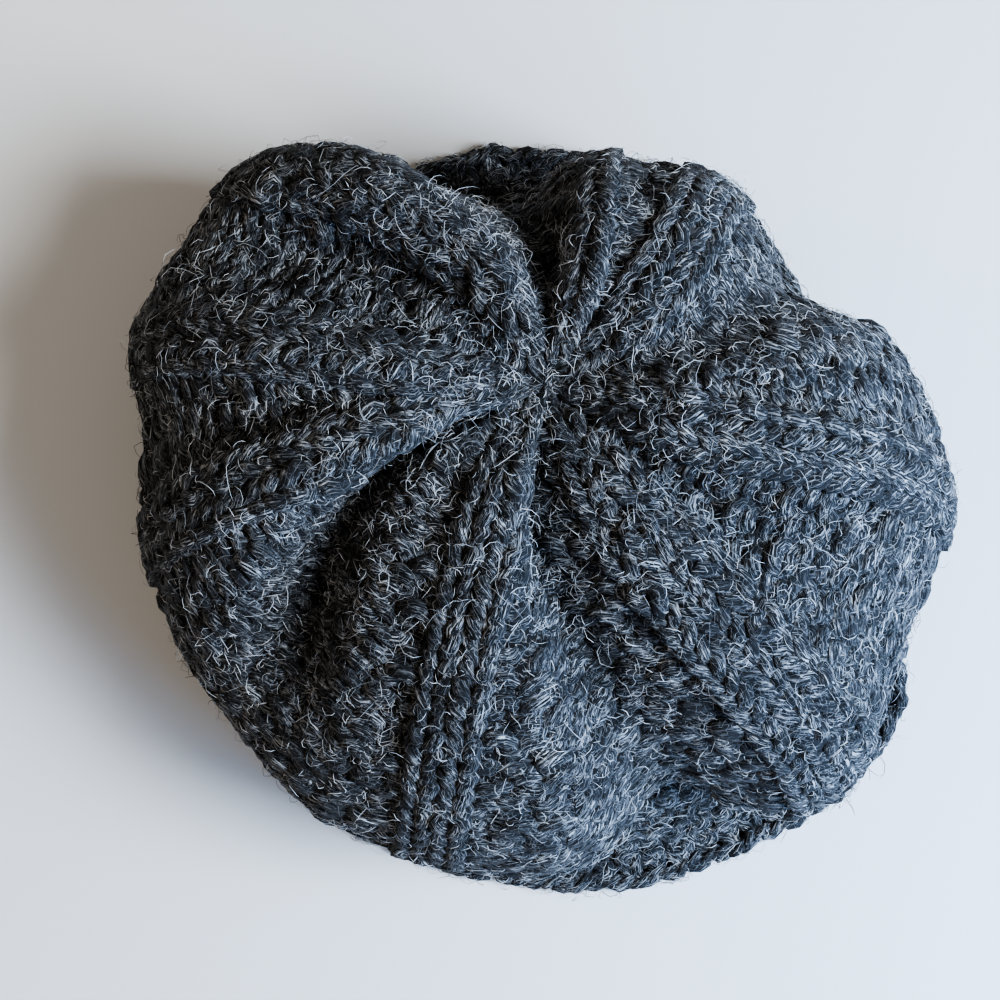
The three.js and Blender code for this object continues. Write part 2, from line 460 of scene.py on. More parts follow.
@dataclass
class Yarn:
    """Softly spun bulky wool in two plies."""

    radius: float = 2.05 * MM
    flat: float = 0.86  # its thickness through the cloth, against its width
    sides: int = 5
    ply_depth: float = 0.07
    ply_turn: float = 11 * MM
    slub: float = 0.06
    slub_points: int = 9  # how many points of the path lie between slubs
    slub_shift: float = 6.0  # the most that the slubs are moved along, in radians
    rng: np.random.Generator = field(default_factory=lambda: np.random.default_rng(11))

    def swept(self, tube: Tube) -> Swept:
        """Sweeps the yarn round a closed path.

        Args:
            tube: the path.

        Returns:
            The swept yarn.
        """
        ahead = np.roll(tube.path, -1, axis=0) - np.roll(tube.path, 1, axis=0)
        along = unit(ahead)
        out = unit(tube.outwards - along * np.sum(tube.outwards * along, axis=1, keepdims=True))
        aside = np.cross(along, out)
        runs = np.linalg.norm(np.roll(tube.path, -1, axis=0) - tube.path, axis=1)
        travelled = np.concatenate([[0], np.cumsum(runs)])
        # The seam of the UV map lies at the back of the yarn.
        angle = np.arange(self.sides) * 2 * np.pi / self.sides - np.pi
        plies = 1 + self.ply_depth * np.cos(
            2 * (angle[None, :] - 2 * np.pi * travelled[:-1, None] / (2 * self.ply_turn))
        )
        waves = np.linspace(0, 2 * np.pi, len(tube.path), endpoint=False)
        shift = self.rng.uniform(0, self.slub_shift)
        slubs = 1 + self.slub * np.sin(waves * (len(tube.path) // self.slub_points) + shift)
        radius = tube.radius * slubs
        across = radius[:, None] * plies
        offset = (
            across[..., None] * np.sin(angle)[None, :, None] * aside[:, None]
            + across[..., None] * self.flat * np.cos(angle)[None, :, None] * out[:, None]
        )
        points = tube.path[:, None] + offset
        girth = 2 * np.pi * self.radius
        return Swept(points, unit(offset), along, tube.outwards, tube.hair, travelled, girth)


def mesh_object(
    name: str, points: np.ndarray, faces: np.ndarray, uv_name: str = "", uv: np.ndarray | None = None
) -> bpy.types.Object:
    """Makes a smooth mesh object from arrays.

    Args:
        name: the object's name.
        points: its vertices.
        faces: its faces, each with the same number of corners.
        uv_name: its UV map's name.
        uv: a UV value for each corner of each face, or None for no map.

    Returns:
        The object, linked to the scene.
    """
    mesh = bpy.data.meshes.new(name)
    corners = faces.shape[1]
    mesh.vertices.add(len(points))
    mesh.vertices.foreach_set("co", points.astype(np.float32).ravel())
    mesh.loops.add(faces.size)
    mesh.loops.foreach_set("vertex_index", faces.astype(np.int32).ravel())
    mesh.polygons.add(len(faces))
    mesh.polygons.foreach_set("loop_start", np.arange(0, faces.size, corners, dtype=np.int32))
    mesh.polygons.foreach_set("use_smooth", np.ones(len(faces), bool))
    if uv is not None:
        layer = mesh.uv_layers.new(name=uv_name)
        layer.data.foreach_set("uv", uv.astype(np.float32).ravel())
    mesh.update(calc_edges=True)
    mesh.validate()
    made = bpy.data.objects.new(name, mesh)
    bpy.context.scene.collection.objects.link(made)
    return made


def ring_faces(rings: int, around: int) -> np.ndarray:
    """Joins closed rings of points, each to the next and the last to the first.

    Args:
        rings: how many rings.
        around: how many points each has.

    Returns:
        The four corners of each face.
    """
    i, j = np.meshgrid(np.arange(rings), np.arange(around), indexing="ij")
    next_i, next_j = (i + 1) % rings, (j + 1) % around
    corners = (i * around + j, i * around + next_j, next_i * around + next_j, next_i * around + j)
    return np.stack(corners, axis=-1).reshape(-1, 4)


def yarn_object(name: str, swept: list[Swept]) -> bpy.types.Object:
    """Joins swept yarns into one object.

    Args:
        name: the object's name.
        swept: the yarns.

    Returns:
        The object.
    """
    points, quads, uvs, first = [], [], [], 0
    for run in swept:
        count, sides = run.points.shape[:2]
        i, j = np.meshgrid(np.arange(count), np.arange(sides), indexing="ij")
        girth = run.girth / UV_UNIT
        u0, u1 = run.travelled[i] / UV_UNIT, run.travelled[i + 1] / UV_UNIT
        v0, v1 = j / sides * girth, (j + 1) / sides * girth
        corners = [np.stack(pair, axis=-1) for pair in ((u0, v0), (u0, v1), (u1, v1), (u1, v0))]
        points.append(run.points.reshape(-1, 3))
        quads.append(ring_faces(count, sides) + first)
        uvs.append(np.stack(corners, axis=-2).reshape(-1, 2))
        first += count * sides
    joined = [np.concatenate(parts) for parts in (points, quads, uvs)]
    return mesh_object(name, joined[0], joined[1], YARN_UV, joined[2])


@dataclass
class Gauge:
    """The stitches' sizes, in metres or as shares of a stitch."""

    stitch: float = 7.8 * MM
    samples: int = 15
    bow: float = 0.25  # how far the loop's sides bow, as a share of its width
    reach: float = 1.8  # the loop's height, in rounds
    depth: float = 1.0 * MM  # how far the yarn goes in and out of the cloth
    wall: float = 5.5 * MM
    rib_lift: float = 0.7 * MM
    rib_hair: float = 0.7  # how hairy the ribs are, against the gutters
    top_smoother: float = 0.4  # how much less hairy the cloth is near the gather
    top: tuple = (0.45, 0.85)  # the shares of the way up between which it gets smoother
    uneven: float = 0.7 * MM
    uneven_height: float = 0.05
    uneven_yarn: float = 0.06
    plain_width: float = 0.86  # how wide a stitch is, of its full width, where the yarn lies easy
    squeeze: tuple = (0.55, 1.2)  # the thinnest and thickest that the yarn gets, of its radius
    turn_from: float = 0.3  # how far from its middle a stitch starts to turn into the next one


class RoundOfStitches:
    """One round of knitting, laid on a cloth."""

    def __init__(self, cloth: Cloth, gauge: Gauge, share: float, round_share: float) -> None:
        """Measures the cloth along the round.

        Args:
            cloth: what the round is laid on.
            gauge: the stitches' sizes.
            share: of the way up the cloth.
            round_share: the height of a round, as a share of the cloth.
        """
        self.cloth, self.gauge, self.share, self.round_share = cloth, gauge, share, round_share
        self.bearings = np.linspace(0, TURN, len(cloth.points) + 1)
        points, normals = cloth.at(self.bearings, np.full(len(self.bearings), share))
        middle = points - normals * gauge.wall / 2
        runs = np.linalg.norm(np.diff(middle, axis=0), axis=1)
        self.arc = np.concatenate([[0], np.cumsum(runs)])

    @property
    def girth(self) -> float:
        """The round's length."""
        return float(self.arc[-1])

    def arc_at(self, bearing: float) -> float:
        """How far round a bearing is, counting whole turns."""
        turns = math.floor(bearing / TURN)
        return float(np.interp(bearing - turns * TURN, self.bearings, self.arc)) + turns * self.girth

    def tube(
        self,
        starts: np.ndarray,
        widths: np.ndarray,
        kinds: np.ndarray,
        rng: np.random.Generator,
        radius: float,
    ) -> Tube:
        """Bends the yarn into the round's stitches.

        Args:
            starts: how far round each stitch starts.
            widths: how wide each stitch is.
            kinds: 1 for a knit stitch and -1 for a purl stitch.
            rng: for the unevenness of work by hand.
            radius: the yarn's radius.

        Returns:
            The yarn's path.
        """
        g = self.gauge
        t = np.arange(g.samples) / g.samples - 0.5
        count = len(starts)
        arc = starts[:, None] + widths[:, None] * (t + 0.5 + g.bow * np.sin(4 * np.pi * t))
        edge = eased(g.turn_from, 0.5, np.abs(t)) / 2
        beside = np.where(t[None, :] < 0, np.roll(kinds, 1)[:, None], np.roll(kinds, -1)[:, None])
        kind = kinds[:, None] * (1 - edge) + beside * edge
        tall = g.reach * (1 + rng.normal(0, g.uneven_height, count))[:, None]
        share = self.share + self.round_share * (tall / 2 * np.cos(2 * np.pi * t))
        depth = -g.depth * kind * np.cos(4 * np.pi * t)
        proud = rng.normal(0, 1, count)[:, None] * g.uneven
        lift = g.rib_lift * kind + proud * np.cos(np.pi * t) ** 2
        turns = np.floor(arc / self.girth)
        bearing = np.interp(arc - turns * self.girth, self.arc, self.bearings)
        points, normals = self.cloth.at(bearing.ravel(), share.ravel())
        out = (depth + lift - g.wall / 2).ravel()[:, None]
        size = np.clip(widths / (g.plain_width * g.stitch), *g.squeeze)
        size = np.repeat(size * (1 + rng.normal(0, g.uneven_yarn, count)), g.samples)
        wrapped = np.concatenate([size[-g.samples :], size, size[: g.samples]])
        even = np.convolve(wrapped, np.ones(g.samples) / g.samples, mode="same")
        thick = radius * even[g.samples : -g.samples]
        hair = np.where(kind > 0, g.rib_hair, 1.0) * (1 - g.top_smoother * eased(*g.top, self.share))
        return Tube(points + normals * out, normals, thick, hair.ravel())


@dataclass
class Crown:
    """The ribbed crown: rounds of knit ribs and purl gutters, drawn together at the gather."""

    form: CrownForm = field(default_factory=CrownForm)
    gauge: Gauge = field(default_factory=Gauge)
    yarn: Yarn = field(default_factory=Yarn)
    rounds: int = 34
    bearings: int = 720
    samples: int = 260
    least_girth: float = 17 * MM
    rib_room: float = 0.62  # how much of its room a rib's stitches fill
    rib_most: float = 0.66  # the most of its room that a rib takes up
    zones: tuple = ("crown_side", "crown_shoulder", "crown_top")
    centre: tuple = (0.0, 0.0)
    rng: np.random.Generator = field(default_factory=lambda: np.random.default_rng(5))

    def cloth(self) -> Cloth:
        """The crown's outer face, from the join up to the gather."""
        rows = np.linspace(len(PROFILE) - 1, 0, self.samples * 2)
        return laid_cloth(self.form, self.bearings, rows, self.samples, self.centre)

    def layout(self, rings: list[RoundOfStitches]) -> list[np.ndarray]:
        """Places the stitches of every round in columns.

        Args:
            rings: the rounds, from the join up.

        Returns:
            For each round, its stitches' starts, widths and kinds.
        """
        bearings, widest = np.array(RIBS, float).T
        most_gutter, most_rib = np.zeros(len(RIBS)), np.zeros(len(RIBS))
        stitch = self.gauge.stitch
        placed = []
        for ring in reversed(rings):
            at = np.array([ring.arc_at(bearing) for bearing in bearings])
            gaps = (np.roll(at, -1) - at) % ring.girth
            room = (gaps + np.roll(gaps, 1)) / 2
            most_rib = np.maximum(most_rib, np.clip(self.rib_room * room / stitch, 1, widest))
            rib_width = np.minimum(most_rib * stitch, self.rib_most * room)
            gutters = gaps - (rib_width + np.roll(rib_width, -1)) / 2
            most_gutter = np.maximum(most_gutter, gutters / stitch)
            stitches = []
            for k in range(len(RIBS)):
                begin = at[k] - rib_width[k] / 2
                for width, kind in (
                    *self.run(most_rib[k], rib_width[k], Stitch.KNIT),
                    *self.run(most_gutter[k], gutters[k], Stitch.PURL),
                ):
                    stitches.append((begin, width, kind))
                    begin += width
            placed.append(np.array(stitches).T)
        return placed[::-1]

    @staticmethod
    def run(count: float, width: float, stitch: Stitch) -> list[tuple[float, int]]:
        """Shares a width among stitches, the outermost of them growing in or dying out.

        Args:
            count: how many stitches there are room for.
            width: the width to share.
            stitch: which stitch they are.

        Returns:
            The width and kind of each.
        """
        whole = max(int(math.floor(count + 0.5)), 0 if stitch is Stitch.PURL else 1)
        if whole == 0 or width <= 0:
            return []
        weights = np.ones(whole)
        weights[0] = weights[-1] = 1 if whole < 3 else np.clip(count - whole + 1.0, 0.5, 1)
        return [(float(width * w / weights.sum()), stitch.value) for w in weights]

    def build(self) -> tuple[list[bpy.types.Object], dict[str, list[Swept]], Cloth]:
        """Knits the crown.

        Returns:
            Its yarn objects, the yarn of each of its zones, and its cloth.
        """
        cloth = self.cloth()
        rings = []
        for i in range(self.rounds):
            ring = RoundOfStitches(cloth, self.gauge, (i + 0.5) / self.rounds, 1 / self.rounds)
            if ring.girth > self.least_girth:
                rings.append(ring)
        swept = []
        for ring, stitches in zip(rings, self.layout(rings)):
            swept.append(self.yarn.swept(ring.tube(*stitches, self.rng, self.yarn.radius)))
        ends = [len(swept) * i // len(self.zones) for i in range(len(self.zones) + 1)]
        zones = {name: swept[ends[i] : ends[i + 1]] for i, name in enumerate(self.zones)}
        made = [yarn_object(f"{name}_rounds", runs) for name, runs in zones.items()]
        return made, zones, cloth


@dataclass
class HemCord:
    """The cast-on edge along the hem: strands of yarn laid round each other."""

    yarn: Yarn = field(
        default_factory=lambda: Yarn(radius=1.55 * MM, ply_depth=0.1, rng=np.random.default_rng(13))
    )
    count: int = 2
    turn: float = 7.4 * MM
    spread: float = 0.8 * MM
    inset: float = 2.2 * MM
    height: float = 2.6 * MM
    samples: int = 9  # points in each turn
    waver: float = 0.55 * MM
    waves: tuple = (23, 41, 67)  # how often it wavers in one turn of the hat
    hair: float = 3.0

    def strands(self, cloth: Cloth) -> list[Swept]:
        """Lays the strands along the lower edge of a cloth.

        Args:
            cloth: the cloth, whose lower edge is the hem.

        Returns:
            The strands.
        """
        edge = cloth.points[:, 0]
        runs = np.linalg.norm(np.roll(edge, -1, axis=0) - edge, axis=1)
        arc = np.concatenate([[0], np.cumsum(runs)])
        turns = round(arc[-1] / self.turn)
        phase = np.arange(turns * self.samples) / self.samples
        bearing = np.interp(phase / turns * arc[-1], arc, np.linspace(0, TURN, len(arc)))
        points, _ = cloth.at(bearing, np.zeros(len(bearing)))
        angle = np.radians(bearing)
        outwards = np.stack([np.cos(angle), np.sin(angle), np.zeros(len(angle))], axis=-1)
        upwards = np.array([0, 0, 1.0])
        shifts = self.yarn.rng.uniform(0, 2 * np.pi, len(self.waves))
        sway = sum(np.sin(angle * k + w) for k, w in zip(self.waves, shifts)) * self.waver
        middle = points + outwards * (sway - self.inset)[:, None] + upwards * self.height
        laid = []
        for strand in range(self.count):
            lay = 2 * np.pi * (phase + strand / self.count)
            offset = outwards * np.cos(lay)[:, None] + upwards * np.sin(lay)[:, None]
            path = middle + offset * self.spread
            radius, hair = np.full(len(path), self.yarn.radius), np.full(len(path), self.hair)
            laid.append(self.yarn.swept(Tube(path, outwards, radius, hair)))
        return laid


@dataclass
class Brim:
    """The brim band: purl rounds that run round the hat, down to a chained hem."""

    form: BrimForm = field(default_factory=BrimForm)
    gauge: Gauge = field(
        default_factory=lambda: Gauge(stitch=6.6 * MM, depth=0.9 * MM, rib_lift=0.0, reach=1.7)
    )
    yarn: Yarn = field(
        default_factory=lambda: Yarn(radius=1.85 * MM, rng=np.random.default_rng(12))
    )
    rounds: int = 5
    first: float = 0.9  # how many rounds the lowest one lies above the hem
    stitches: int = 84
    uneven: float = 0.08  # how unlike the stitches' widths are
    spread: float = 5.3  # how many rounds high the band is
    clear: float = CLEAR  # the least height over the floor
    hem_cord: HemCord = field(default_factory=HemCord)
    bearings: int = 720
    samples: int = 60
    centre: tuple = (0.0, 0.0)
    rng: np.random.Generator = field(default_factory=lambda: np.random.default_rng(6))

    def cloth(self) -> Cloth:
        """The brim's outer face, from its hem up to the join."""
        rows = np.linspace(0, self.form.top, self.samples)
        return laid_cloth(self.form, self.bearings, rows, self.samples, self.centre)

    def build(self) -> tuple[list[bpy.types.Object], list[Swept], Cloth]:
        """Knits the brim.

        Returns:
            Its yarn objects, its yarn, and its cloth.
        """
        cloth = self.cloth()
        swept = []
        for i in range(self.rounds):
            share = (i + self.first) / self.spread
            ring = RoundOfStitches(cloth, self.gauge, share, 1 / self.spread)
            count = self.stitches
            widths = ring.girth / count * (1 + self.rng.normal(0, self.uneven, count))
            widths *= ring.girth / widths.sum()
            starts = np.concatenate([[0], np.cumsum(widths)[:-1]])
            kinds = np.full(count, float(Stitch.PURL.value))
            tube = ring.tube(starts, widths, kinds, self.rng, self.yarn.radius)
            tube.path[:, 2] = np.maximum(tube.path[:, 2], tube.radius + self.clear)
            laid = self.yarn.swept(tube)
            laid.points[..., 2] = np.maximum(laid.points[..., 2], self.clear)
            swept.append(laid)
        cord = self.hem_cord.strands(cloth)
        made = [yarn_object("brim_rounds", swept), yarn_object("hem_cord", cord)]
        return made, swept + cord, cloth


@dataclass
class Core:
    """The felted middle of the cloth, that the loops stand out of on both sides."""

    name: str
    rows: int  # how many points go up it
    ends: tuple  # the shares of the way up the cloth that it starts and stops at
    columns: int = 120
    depth: float = 2.5 * MM
    thick: float = 1.4 * MM
    floor: float = 0.3 * MM
    merge: float = 0.05 * MM  # points of the closed top that lie nearer are made one

    def build(self, cloth: Cloth) -> bpy.types.Object:
        """Makes the closed middle layer of a cloth.

        Args:
            cloth: the cloth.

        Returns:
            The object.
        """
        columns, rows = self.columns, self.rows
        bearing = np.arange(columns) * TURN / columns
        b, s = np.meshgrid(bearing, np.linspace(*self.ends, rows), indexing="ij")
        points, normals = cloth.at(b.ravel(), s.ravel())
        layers = []
        for side in (-0.5, 0.5):
            moved = points - normals * (self.depth + side * self.thick)
            moved[:, 2] = np.maximum(moved[:, 2], self.floor * (1.5 - side))
            layers.append(moved.reshape(columns, rows, 3).transpose(1, 0, 2))
        rings = np.concatenate([layers[0], layers[1][::-1]])
        made = mesh_object(self.name, rings.reshape(-1, 3), ring_faces(len(rings), columns))
        bpy.ops.object.select_all(action="DESELECT")
        made.select_set(True)
        bpy.context.view_layer.objects.active = made
        bpy.ops.object.mode_set(mode="EDIT")
        bpy.ops.mesh.select_all(action="SELECT")
        bpy.ops.mesh.remove_doubles(threshold=self.merge)
        bpy.ops.object.mode_set(mode="OBJECT")
        return made


@dataclass
class Fuzz:
    """The loose fibres that stand out of the wool, each a fine tapered hair."""

    thickness: float = 0.1 * MM
    taper: float = 0.6  # how much thinner the tip is
    sides: int = 3
    points: int = 5
    length: tuple = (2.5 * MM, 6.5 * MM)
    uneven_length: float = 0.25
    root_depth: float = 0.15 * MM  # how deep in the yarn a fibre starts
    root_spread: float = 0.6 * MM
    stand: float = 0.35  # how much a fibre heads away from the yarn at first, against along it
    uneven_stand: float = 0.35
    wander: float = 0.75
    curl: float = 0.65  # how much a fibre turns aside from point to point
    uneven_curl: float = 0.22
    wobble: float = 0.14
    ceiling: float = 1.5 * MM  # the height over the yarn that fibres turn back at
    turn_back: float = 0.8
    least_facing: float = 0.15  # how far round the yarn's back fibres still grow
    least_weight: float = 0.04
    tufting: float = 0.8
    tuft_waves: int = 12
    tuft_size: tuple = (5 * MM, 11 * MM)
    tuft_seed: int = 31
    rng: np.random.Generator = field(default_factory=lambda: np.random.default_rng(21))

    def tufts(self, places: np.ndarray) -> np.ndarray:
        """Adds up waves that cross the hat at random.

        Args:
            places: the points to look at.

        Returns:
            How thickly fibres stand at each, about 0 with a spread of 1.
        """
        rng = np.random.default_rng(self.tuft_seed)
        total = np.zeros(len(places))
        for _ in range(self.tuft_waves):
            heading = unit(rng.normal(0, 1, 3))
            length = rng.uniform(*self.tuft_size)
            total += np.cos(2 * np.pi * places @ heading / length + rng.uniform(0, 2 * np.pi))
        return total / math.sqrt(self.tuft_waves / 2)

    def grown(self, swept: list[Swept], count: int) -> tuple[np.ndarray, np.ndarray, np.ndarray]:
        """Grows fibres out of yarn.

        Args:
            swept: the yarn.
            count: how many fibres.

        Returns:
            Each fibre's points, outwards from the cloth at its root, and its shade.
        """
        rng = self.rng
        roots = np.concatenate([run.points.reshape(-1, 3) for run in swept])
        out = np.concatenate([run.out.reshape(-1, 3) for run in swept])
        sides = swept[0].points.shape[1]
        along, cloth, hair = (
            np.concatenate([np.repeat(getattr(run, kind), sides, axis=0) for run in swept])
            for kind in ("along", "cloth", "hair")
        )
        facing = np.clip(np.sum(out * cloth, axis=1) + self.least_facing, self.least_weight, 1)
        weight = facing * hair * np.exp(self.tufting * self.tufts(roots))
        chosen = rng.choice(len(roots), count, p=weight / weight.sum())
        out, along, cloth = out[chosen], along[chosen], cloth[chosen]
        place = roots[chosen] - out * self.root_depth
        place = place + along * rng.normal(0, self.root_spread, (count, 1))
        heading = unit(
            along * rng.choice([-1, 1], (count, 1))
            + rng.normal(0, self.wander, (count, 3))
            + out * np.abs(rng.normal(self.stand, self.uneven_stand, (count, 1)))
        )
        long = rng.uniform(*self.length, count) * np.exp(rng.normal(0, self.uneven_length, count))
        step = (long / (self.points - 1))[:, None]
        swing = rng.normal(0, self.curl, (count, 1))
        line = [place]
        for _ in range(self.points - 1):
            high = np.sum((place - line[0]) * cloth, axis=1, keepdims=True) / self.ceiling
            aside = np.cross(cloth, heading)
            heading = unit(
                heading
                + aside * (swing + rng.normal(0, self.uneven_curl, (count, 1)))
                + rng.normal(0, self.wobble, (count, 3))
                - cloth * np.maximum(high, 0) * self.turn_back
            )
            place = place + heading * step
            line.append(place)
        return np.stack(line, axis=1), cloth, rng.uniform(0, 1, count)

    def hair_faces(self) -> np.ndarray:
        """Lists the triangles of one hair, between its root, its rings of points and its tip.

        Returns:
            The three corners of each, counted from the root.
        """
        rings, sides = self.points - 2, self.sides
        tip, faces = 1 + rings * sides, []
        for side in range(sides):
            beside = (side + 1) % sides
            faces.append((0, 1 + beside, 1 + side))
            for first in range(1, tip - sides, sides):
                a, b = first + side, first + beside
                faces += [(a, b, b + sides), (a, b + sides, a + sides)]
            faces.append((tip - sides + side, tip - sides + beside, tip))
        return np.array(faces)

    def build(self, name: str, swept: list[Swept], count: int) -> bpy.types.Object:
        """Makes one object of fibres.

        Args:
            name: the object's name.
            swept: the yarn that they grow from.
            count: how many fibres.

        Returns:
            The object.
        """
        lines, cloth, shade = self.grown(swept, count)
        lines[..., 2] = np.maximum(lines[..., 2], CLEAR)
        sides, share = self.sides, np.linspace(0, 1, self.points)
        ahead = unit(np.gradient(lines, axis=1))
        aside = unit(np.cross(ahead, cloth[:, None]) + NUDGE)
        over = np.cross(aside, ahead)
        thick = self.thickness * (1 - self.taper * share)[1:-1, None]
        corners = []
        for angle in np.arange(sides) * 2 * np.pi / sides:
            around = aside * math.cos(angle) + over * math.sin(angle)
            corners.append(lines[:, 1:-1] + around[:, 1:-1] * thick)
        rings = np.stack(corners, axis=2).reshape(count, -1, 3)
        points = np.concatenate([lines[:, :1], rings, lines[:, -1:]], axis=1)
        faces = self.hair_faces()
        firsts = points.shape[1] * np.arange(count)[:, None, None]
        height = np.concatenate([share[:1], np.repeat(share[1:-1], sides), share[-1:]])
        uv = np.empty((*(firsts + faces).shape, 2))
        uv[..., 0] = shade[:, None, None]
        uv[..., 1] = height[faces]
        triangles = (firsts + faces).reshape(-1, 3)
        return mesh_object(name, points.reshape(-1, 3), triangles, FIBRE_UV, uv.reshape(-1, 2))


Given = bpy.types.NodeSocket | float | tuple  # what a node's input is joined or set to


class NodeTools:
    """Short ways to add and join shader nodes."""

    def __init__(self, tree: bpy.types.NodeTree) -> None:
        """Keeps the tree that the nodes go in."""
        self.tree = tree

    def add(self, kind: str, settings: dict | None = None, **inputs: Given) -> bpy.types.Node:
        """Adds a node.

        Args:
            kind: the node's type.
            settings: its properties.
            inputs: values or sockets for its inputs, by name, with _ for a space.

        Returns:
            The node.
        """
        node = self.tree.nodes.new(kind)
        for name, value in (settings or {}).items():
            setattr(node, name, value)
        for name, value in inputs.items():
            self.set(node.inputs[name.replace("_", " ")], value)
        return node

    def set(self, socket: bpy.types.NodeSocket, value: Given) -> None:
        """Joins or sets an input."""
        if isinstance(value, bpy.types.NodeSocket):
            self.tree.links.new(value, socket)
        else:
            socket.default_value = value

    def maths(self, operation: str, *values: Given) -> bpy.types.NodeSocket:
        """Adds a maths node.

        Args:
            operation: what it works out.
            values: values or sockets for its inputs.

        Returns:
            Its output.
        """
        node = self.tree.nodes.new("ShaderNodeMath")
        node.operation = operation
        for socket, value in zip(node.inputs, values):
            self.set(socket, value)
        return node.outputs[0]

    def mapped(
        self, value: Given, low: float, high: float, to_low: float = 0.0, to_high: float = 1.0
    ) -> bpy.types.NodeSocket:
        """Eases a value from one range to another, and keeps it there.

        Args:
            value: the value's socket.
            low: the start of its range.
            high: the end of its range.
            to_low: the start of the new range.
            to_high: the end of the new range.

        Returns:
            The new value.
        """
        node = self.add("ShaderNodeMapRange", {"interpolation_type": "SMOOTHSTEP"})
        for name, given in (
            ("Value", value), ("From Min", low), ("From Max", high),
            ("To Min", to_low), ("To Max", to_high),
        ):  # fmt: skip
            self.set(node.inputs[name], given)
        return node.outputs["Result"]

    def mixed(self, factor: Given, a: Given, b: Given) -> bpy.types.NodeSocket:
        """Mixes two colours.

        Args:
            factor: how much of the second.
            a: the first.
            b: the second.

        Returns:
            The colour.
        """
        node = self.add("ShaderNodeMix", {"data_type": "RGBA"})
        self.set(node.inputs[0], factor)
        self.set(node.inputs[6], a)
        self.set(node.inputs[7], b)
        return node.outputs[2]

    def bumped(
        self, shader: bpy.types.Node, height: Given, strength: float, distance: float
    ) -> None:
        """Raises a shader's surface.

        Args:
            shader: the shader's node.
            height: the height's socket.
            strength: how strongly.
            distance: how high a value of 1 stands, in metres.
        """
        bump = self.add("ShaderNodeBump", Strength=strength, Distance=distance, Height=height)
        self.set(shader.inputs["Normal"], bump.outputs["Normal"])


def new_group(
    name: str, inputs: dict[str, tuple[str, float]], outputs: list[str]
) -> tuple[bpy.types.NodeTree, NodeTools, bpy.types.Node, bpy.types.Node]:
    """Starts a shader node group.

    Args:
        name: the group's name.
        inputs: each input's socket type and starting value.
        outputs: the names of its outputs, all values.

    Returns:
        The group, its tools, its input node and its output node.
    """
    group = bpy.data.node_groups.new(name, "ShaderNodeTree")
    for label, (kind, value) in inputs.items():
        socket = group.interface.new_socket(label, in_out="INPUT", socket_type=kind)
        if kind == "NodeSocketFloat":
            socket.default_value = value
    for label in outputs:
        group.interface.new_socket(label, in_out="OUTPUT", socket_type="NodeSocketFloat")
    tools = NodeTools(group)
    return group, tools, group.nodes.new("NodeGroupInput"), group.nodes.new("NodeGroupOutput")


def stray_line_group() -> bpy.types.NodeTree:
    """Builds the group that draws short curling fibres over a surface.

    Returns:
        The group, with a Fibres mask from 0 to 1.
    """
    group, tools, given, result = new_group(
        "stray_fibres",
        {
            "Vector": ("NodeSocketVector", 0),
            "Scale": ("NodeSocketFloat", 300),
            "Width": ("NodeSocketFloat", 0.02),
        },
        ["Fibres"],
    )

    def noise(scale: float, shift: float) -> bpy.types.NodeSocket:
        """Adds a smooth noise.

        Args:
            scale: its scale, against the group's own.
            shift: how far it is moved aside.

        Returns:
            Its value.
        """
        moved = tools.add("ShaderNodeVectorMath", {"operation": "ADD"})
        tools.set(moved.inputs[0], given.outputs["Vector"])
        tools.set(moved.inputs[1], (shift, shift * 0.7, shift * 1.3))
        made = tools.add("ShaderNodeTexNoise", Vector=moved.outputs[0], Detail=0.0, Roughness=0.6)
        tools.set(made.inputs["Scale"], tools.maths("MULTIPLY", given.outputs["Scale"], scale))
        return made.outputs["Fac"]

    whole = noise(0.8, 5.0)
    masks = []
    # Each layer of fibres: its scale, its shift, and where on the whole it fades in.
    for scale, shift, low, high in ((1.0, 0.0, 0.44, 0.5), (1.3, 13.0, 0.56, 0.5)):
        off = tools.maths("ABSOLUTE", tools.maths("SUBTRACT", noise(scale, shift), 0.5))
        near = tools.maths("DIVIDE", off, given.outputs["Width"])
        line = tools.maths("SUBTRACT", 1.0, tools.maths("MINIMUM", near, 1.0))
        masks.append(tools.maths("MULTIPLY", line, tools.mapped(whole, low, high)))
    tools.set(result.inputs["Fibres"], tools.maths("MAXIMUM", *masks))
    return group


def streak_group() -> bpy.types.NodeTree:
    """Builds the group that draws the fibres that run along a yarn.

    Returns:
        The group, with a Streaks mask and a Tone value, both from 0 to 1.
    """
    group, tools, given, result = new_group(
        "spun_fibres",
        {
            "Vector": ("NodeSocketVector", 0),
            "Length": ("NodeSocketFloat", 3.4),
            "Fineness": ("NodeSocketFloat", 26),
            "Twist": ("NodeSocketFloat", 0.35),
        },
        ["Streaks", "Tone"],
    )
    parts = tools.add("ShaderNodeSeparateXYZ", Vector=given.outputs["Vector"])
    turned = tools.maths("MULTIPLY", parts.outputs["X"], given.outputs["Twist"])
    sheared = tools.maths("ADD", parts.outputs["Y"], turned)
    placed = tools.add(
        "ShaderNodeCombineXYZ",
        X=tools.maths("MULTIPLY", parts.outputs["X"], given.outputs["Length"]),
        Y=tools.maths("MULTIPLY", sheared, given.outputs["Fineness"]),
    )
    flat, on = {"noise_dimensions": "2D"}, placed.outputs[0]
    fine = tools.add(
        "ShaderNodeTexNoise", flat, Vector=on, Scale=1.0, Detail=2.0, Roughness=0.7, Distortion=1.0
    )
    broad = tools.add("ShaderNodeTexNoise", flat, Vector=on, Scale=0.3, Detail=0.0)
    tools.set(result.inputs["Streaks"], tools.mapped(fine.outputs["Fac"], 0.49, 0.7))
    tools.set(result.inputs["Tone"], tools.mapped(broad.outputs["Fac"], 0.3, 0.7))
    return group


